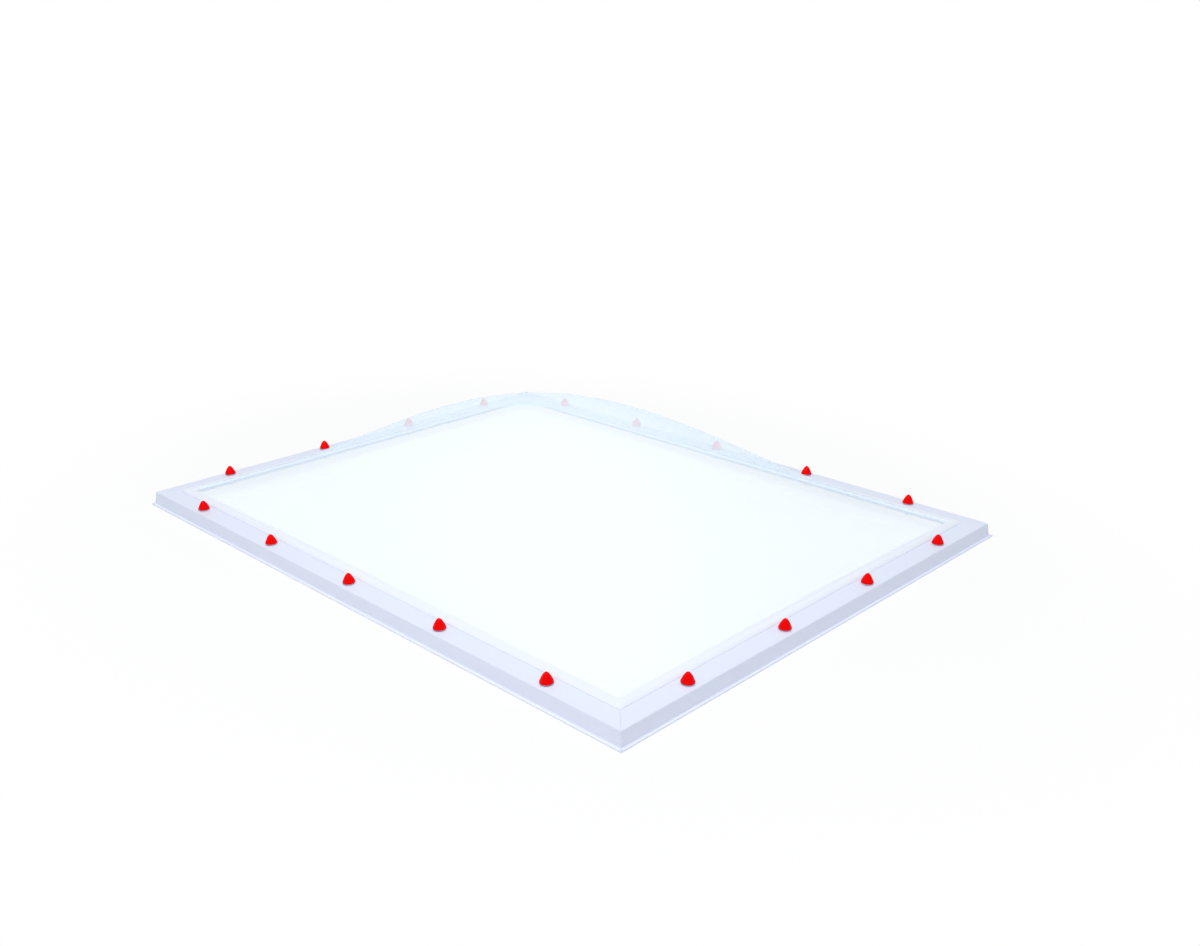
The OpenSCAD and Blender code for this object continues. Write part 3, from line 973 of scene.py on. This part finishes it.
class SKYLIGHT_OT_bases(bpy.types.Operator):
    """Turn the cap bases: flange, hub and snap groove"""

    bl_idname = "skylight.bases"
    bl_label = "Cap bases"

    def execute(self, context):
        fix = context.scene.skylight_fixings
        seat, fine = fix.washer_thickness + fix.base_thickness, fix.fine_edge
        rim, hub = fix.cap_d / 2 - fix.edge_wall - fix.snap_play, hub_radius(fix)
        hole, recess = fix.screw_d / 2 + fix.pilot_play, fix.collar_radius + fix.snap_play
        snap, depth = seat + fix.hub_height / 2, fix.snap_depth
        low, high = seat - fix.base_thickness, seat + fix.hub_height
        ring = [
            ((hole, low), fine),
            ((rim, low), 7 * fine),
            ((rim, seat), 4 * fine),
            ((hub, seat), fine),
            ((hub, snap - depth), fine / 2),
            ((hub - depth, snap), fine),
            ((hub, snap + depth), fine / 2),
            ((hub, high), 2 * fine),
            ((recess, high), 2 * fine),
            ((recess, seat), fine),
            ((hole, seat), fine),
        ]
        loop = rounded_loop(*zip(*ring), steps=4)[::-1]
        put_turned("cap_collars", "cap_bases", loop, context, collar_finish)
        return {"FINISHED"}


class SKYLIGHT_OT_caps(bpy.types.Operator):
    """Turn the red cover caps: a rounded, tapering shell with a snap bead in its foot"""

    bl_idname = "skylight.caps"
    bl_label = "Cover caps"

    def execute(self, context):
        fix = context.scene.skylight_fixings
        seat = fix.washer_thickness + fix.base_thickness
        radius, low = fix.cap_d / 2, -fix.edge_drop
        bore, bore_height = hub_radius(fix) + fix.snap_play, fix.hub_height + fix.snap_play
        snap, depth, skirt = fix.hub_height / 2, fix.snap_depth, radius - fix.edge_wall
        outside = ogive(radius, fix.cap_height, fix.cap_power, CAP_BANDS)[::-1]
        foot = [(radius, low + depth), (radius - depth, low), (skirt, low), (skirt, 0), (bore, 0)]
        bead = [(bore, snap - depth), (bore - depth, snap), (bore, snap + depth)]
        hollow_height = fix.cap_height - fix.cap_wall - bore_height
        hollow = ogive(bore, hollow_height, fix.cap_power, HOLLOW_BANDS) + [0, bore_height]
        profile = np.concatenate([outside, foot, bead, hollow]) + [0, seat]
        put_turned("cover_caps", "caps", profile, context, cap_finish)
        return {"FINISHED"}


class SKYLIGHT_OT_keys(bpy.types.Operator):
    """Give the corner keys inside the mitres their mill finish"""

    bl_idname = "skylight.keys"
    bl_label = "Corner keys"

    def execute(self, context):
        finish = aluminium_finish(context.scene.skylight_colours)
        for corner in range(1, 5):
            key = frame["nodes"][f"corner_key_{corner}"]
            key.data.materials.clear()
            key.data.materials.append(finish)
        return {"FINISHED"}


class SKYLIGHT_OT_stage(bpy.types.Operator):
    """Set the pale floor, the white background, the soft light and the camera"""

    bl_idname = "skylight.stage"
    bl_label = "Stage"

    def execute(self, context):
        scene, stage = context.scene, context.scene.skylight_stage
        scene.view_settings.view_transform = "Standard"
        self.floor(stage)
        scene.world = self.world(stage)
        self.lamp(stage)
        scene.camera = self.camera(stage)
        return {"FINISHED"}

    def floor(self, stage):
        """A wide pale floor that turns to the white of the background away from the object.

        It can't be seen from below.
        """
        r = stage.floor_reach
        mesh = bpy.data.meshes.new("floor")
        mesh.from_pydata([(-r, -r, 0), (r, -r, 0), (r, r, 0), (-r, r, 0)], [], [(0, 1, 2, 3)])
        plain = {"Base Color": shade(stage.floor), "Roughness": 0.9, "Specular IOR Level": 0.0}
        f = Finish("pale_floor", **plain)
        oval = {0: f.stretched(f.place(), (1.0, 1.25, 1.0))}
        away = f.make("ShaderNodeVectorMath", {"operation": "LENGTH"}, oval, "Value")
        rest = f.between(away, stage.white_start, stage.white_end) * (1 - stage.floor_white)
        share = (rest + stage.floor_white) * f.seen()
        white = f.make("ShaderNodeEmission", None, {"Color": (1, 1, 1, 1), "Strength": 1.0})
        above = f.make("ShaderNodeMixShader", None, {0: share, 1: f.lit, 2: white})
        under = f.make("ShaderNodeNewGeometry", out="Backfacing")
        clear = f.make("ShaderNodeBsdfTransparent")
        f.show(f.make("ShaderNodeMixShader", None, {0: under, 1: above, 2: clear}))
        mesh.materials.append(f.material)
        floor = put("floor", mesh)

    def world(self, stage):
        """White behind the object, and an even soft light from all round."""
        world = bpy.data.worlds.new("studio")
        world.use_nodes = True
        f = Nodes(world.node_tree, "ShaderNodeOutputWorld")
        lights = ((shade(stage.sky), stage.sky_level), ((1, 1, 1, 1), 1.0))
        soft, white = (
            f.make("ShaderNodeBackground", None, {"Color": rgb, "Strength": level})
            for rgb, level in lights
        )
        f.show(f.make("ShaderNodeMixShader", None, {0: f.seen(), 1: soft, 2: white}))
        return world

    def lamp(self, stage):
        """One large soft lamp above the front."""
        lamp = bpy.data.lights.new("key", "AREA")
        lamp.shape = "SQUARE"
        lamp.size = stage.key_size
        lamp.energy = stage.key_level
        key = put("key", lamp)
        key.location = stage.key_place
        key.rotation_euler = (-Vector(stage.key_place)).to_track_quat("-Z", "Y").to_euler()

    def camera(self, stage):
        """The photograph's viewpoint."""
        lens = bpy.data.cameras.new("camera")
        lens.sensor_width = 36.0
        lens.lens = stage.lens
        lens.clip_end = 200.0
        camera = put("camera", lens)
        camera.location = stage.camera_place
        camera.rotation_euler = stage.camera_turn
        return camera


OPERATORS = (
    SKYLIGHT_OT_dome,
    SKYLIGHT_OT_rails,
    SKYLIGHT_OT_tapes,
    SKYLIGHT_OT_seals,
    SKYLIGHT_OT_screws,
    SKYLIGHT_OT_washers,
    SKYLIGHT_OT_bases,
    SKYLIGHT_OT_caps,
    SKYLIGHT_OT_keys,
    SKYLIGHT_OT_stage,
)
SETTINGS = (
    ("skylight_frame", FrameSizes),
    ("skylight_dome", DomeSizes),
    ("skylight_fixings", FixingSizes),
    ("skylight_colours", Colours),
    ("skylight_stage", StageSettings),
)


class SKYLIGHT_PT_build(bpy.types.Panel):
    """Settings and pieces of the skylight"""

    bl_idname = "SKYLIGHT_PT_build"
    bl_label = "Roof Skylight"
    bl_space_type = "VIEW_3D"
    bl_region_type = "UI"
    bl_category = "Skylight"

    def draw(self, context):
        for operator in OPERATORS:
            self.layout.operator(operator.bl_idname)
        for name, group in SETTINGS:
            box = self.layout.box()
            box.label(text=group.__doc__)
            for setting in group.__annotations__:
                box.prop(getattr(context.scene, name), setting)


def register():
    """Registers the settings, the operators and the panel."""
    for name, group in SETTINGS:
        bpy.utils.register_class(group)
        setattr(bpy.types.Scene, name, PointerProperty(type=group))
    for cls in (*OPERATORS, SKYLIGHT_PT_build):
        bpy.utils.register_class(cls)


def unregister():
    """Takes back what register added."""
    for cls in (SKYLIGHT_PT_build, *reversed(OPERATORS)):
        bpy.utils.unregister_class(cls)
    for name, group in reversed(SETTINGS):
        delattr(bpy.types.Scene, name)
        bpy.utils.unregister_class(group)


def main():
    """Builds every piece and the stage."""
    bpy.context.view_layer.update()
    register()
    for operator in OPERATORS:
        group, name = operator.bl_idname.split(".")
        getattr(getattr(bpy.ops, group), name)()


if __name__ == "__main__":
    main()
